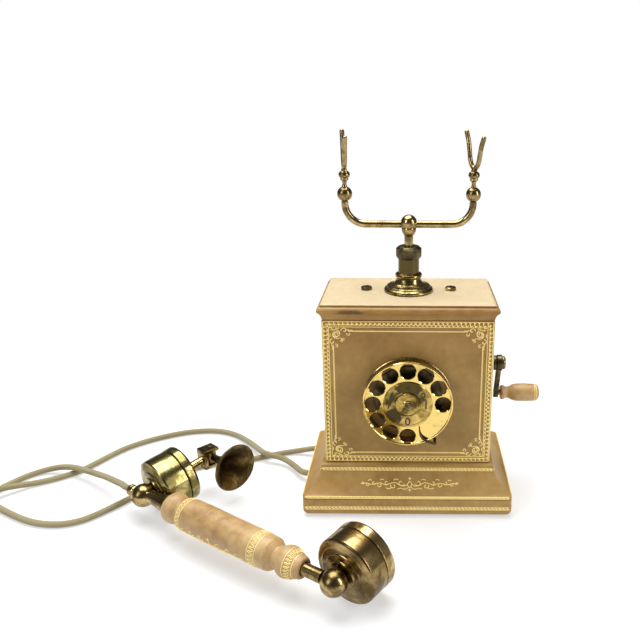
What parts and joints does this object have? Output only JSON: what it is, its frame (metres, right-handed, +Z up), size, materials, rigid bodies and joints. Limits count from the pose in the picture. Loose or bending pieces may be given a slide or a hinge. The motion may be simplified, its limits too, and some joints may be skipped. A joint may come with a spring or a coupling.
{
  "type": "rotary telephone",
  "caption": "Antique-style desk telephone: leather-covered case with a brass rotary dial, forked cradle, side crank, and a handset with a folding mouthpiece horn lying beside it on its cords.",
  "frame": {"origin": "centre of the felt pad's underside, on the desk", "axes": "+Z up, -Y the way the dial faces, +X to the right of the dial, where the crank is"},
  "size_m": [0.575, 0.2872, 0.3232],
  "materials": {
    "tan_leather": "waxed leather with gilt tooling",
    "cream_leather": "waxed leather",
    "polished_brass": "polished, lacquered",
    "antique_bronze": "polished, darkened",
    "dark_brass": "patinated",
    "zinc_steel": "zinc plated",
    "green_felt": "felt",
    "bakelite": "moulded",
    "winding": "enamelled copper wire",
    "cord_fabric": "woven cover",
    "black_plastic": "moulded"
  },
  "bodies": {
    "base": {"felt_pad": "green_felt", "base_plate": "zinc_steel", "base_plinth": "tan_leather", "line_cord_grommet": "polished_brass", "handset_cord_grommet": "polished_brass", "case_body": "tan_leather", "lid": "cream_leather", "lid_screw_left": "polished_brass", "lid_screw_right": "polished_brass", "column": "polished_brass", "column_collar": "dark_brass", "spring_bracket": "zinc_steel", "hook_switch": "bakelite", "dial_cup": "polished_brass", "dial_mount_plate": "dark_brass", "finger_stop": "polished_brass", "crank_bush": "dark_brass", "ringer_plate": "zinc_steel", "gong_left": "polished_brass", "gong_right": "polished_brass", "ringer_magnet": "winding", "induction_coil": "winding", "terminal_block": "bakelite", "handset_cord": "cord_fabric", "line_cord": "cord_fabric", "line_cord_coil": "cord_fabric", "line_plug": "bakelite"},
    "cradle": {"cradle_hub": "polished_brass", "cradle_arm": "polished_brass", "finial_left": "polished_brass", "finial_right": "polished_brass", "cradle_spring": "zinc_steel"},
    "fork_left_rest": {"fork_left": "polished_brass"},
    "fork_right_rest": {"fork_right": "polished_brass"},
    "hook_lever": {"hook_lever": "zinc_steel"},
    "dial": {"finger_wheel": "polished_brass", "number_disc": "polished_brass", "dial_centre_cap": "polished_brass", "dial_centre_screw": "polished_brass", "dial_arbor": "zinc_steel"},
    "governor": {"governor": "zinc_steel"},
    "clapper": {"clapper": "zinc_steel"},
    "crank": {"crank_shaft": "polished_brass", "crank_arm": "dark_brass", "crank_handle_pin": "polished_brass"},
    "crank_knob": {"crank_handle": "tan_leather"},
    "handset": {"grip": "tan_leather", "grip_rod": "polished_brass", "receiver_hub": "polished_brass", "receiver_cup": "antique_bronze", "receiver_cap": "antique_bronze", "receiver_capsule": "black_plastic", "transmitter_hub": "polished_brass", "transmitter_cup": "polished_brass", "transmitter_cap": "polished_brass", "transmitter_capsule": "black_plastic", "horn_bracket": "polished_brass", "horn_pin": "polished_brass", "handset_cord_ferrule": "polished_brass"},
    "horn": {"horn_mouthpiece": "antique_bronze"}
  },
  "joints": [
    {"name": "cradle_press", "type": "slide", "parent": "base", "child": "cradle", "axis": [0, 0, -1], "range_m": [0, 0.0045], "stiffness_N_per_m": 500, "springref_m": -0.004, "deforming": ["cradle_spring"]},
    {"name": "fork_left_swivel", "type": "hinge", "parent": "cradle", "child": "fork_left_rest", "pos_m": [-0.054, 0, 0.2911], "axis": [0, 0, 1], "range_deg": [-90, 90]},
    {"name": "fork_right_swivel", "type": "hinge", "parent": "cradle", "child": "fork_right_rest", "pos_m": [0.054, 0, 0.2911], "axis": [0, 0, 1], "range_deg": [-90, 90]},
    {"name": "hook_lever_tilt", "type": "hinge", "parent": "base", "child": "hook_lever", "pos_m": [0.024, 0, 0.1396], "axis": [0, -1, 0], "range_deg": [0, 11]},
    {"name": "dial_turn", "type": "hinge", "parent": "base", "child": "dial", "pos_m": [0, -0.04315, 0.1048], "axis": [0, 1, 0], "range_deg": [0, 315], "stiffness_Nm_per_rad": 0.012, "springref_deg": -57.3},
    {"name": "governor_spin", "type": "hinge", "parent": "base", "child": "governor", "pos_m": [0, -0.04315, 0.082], "axis": [0, 1, 0], "range_deg": [-1262, 2]},
    {"name": "clapper_swing", "type": "hinge", "parent": "base", "child": "clapper", "pos_m": [0, -0.002, 0.0175], "axis": [0, 0, 1], "range_deg": [-8, 8]},
    {"name": "crank_turn", "type": "hinge", "parent": "base", "child": "crank", "pos_m": [0.08, 0, 0.1209], "axis": [1, 0, 0], "continuous": true},
    {"name": "crank_handle_spin", "type": "hinge", "parent": "crank", "child": "crank_knob", "pos_m": [0.1, 0, 0.092], "axis": [1, 0, 0], "continuous": true},
    {"name": "handset_lift", "type": "slide", "parent": "base", "child": "handset", "axis": [0, 0, 1], "range_m": [0, 0.25]},
    {"name": "horn_fold", "type": "hinge", "parent": "handset", "child": "horn", "pos_m": [-0.18178, -0.01611, 0.03357], "axis": [-0.0111, 0.0073, 0.9999], "range_deg": [-10, 80]}
  ],
  "couplings": [
    {"joint": "hook_lever_tilt", "follows": "cradle_press", "rad_per_m": 41.67},
    {"joint": "governor_spin", "follows": "dial_turn", "ratio": -4}
  ]
}
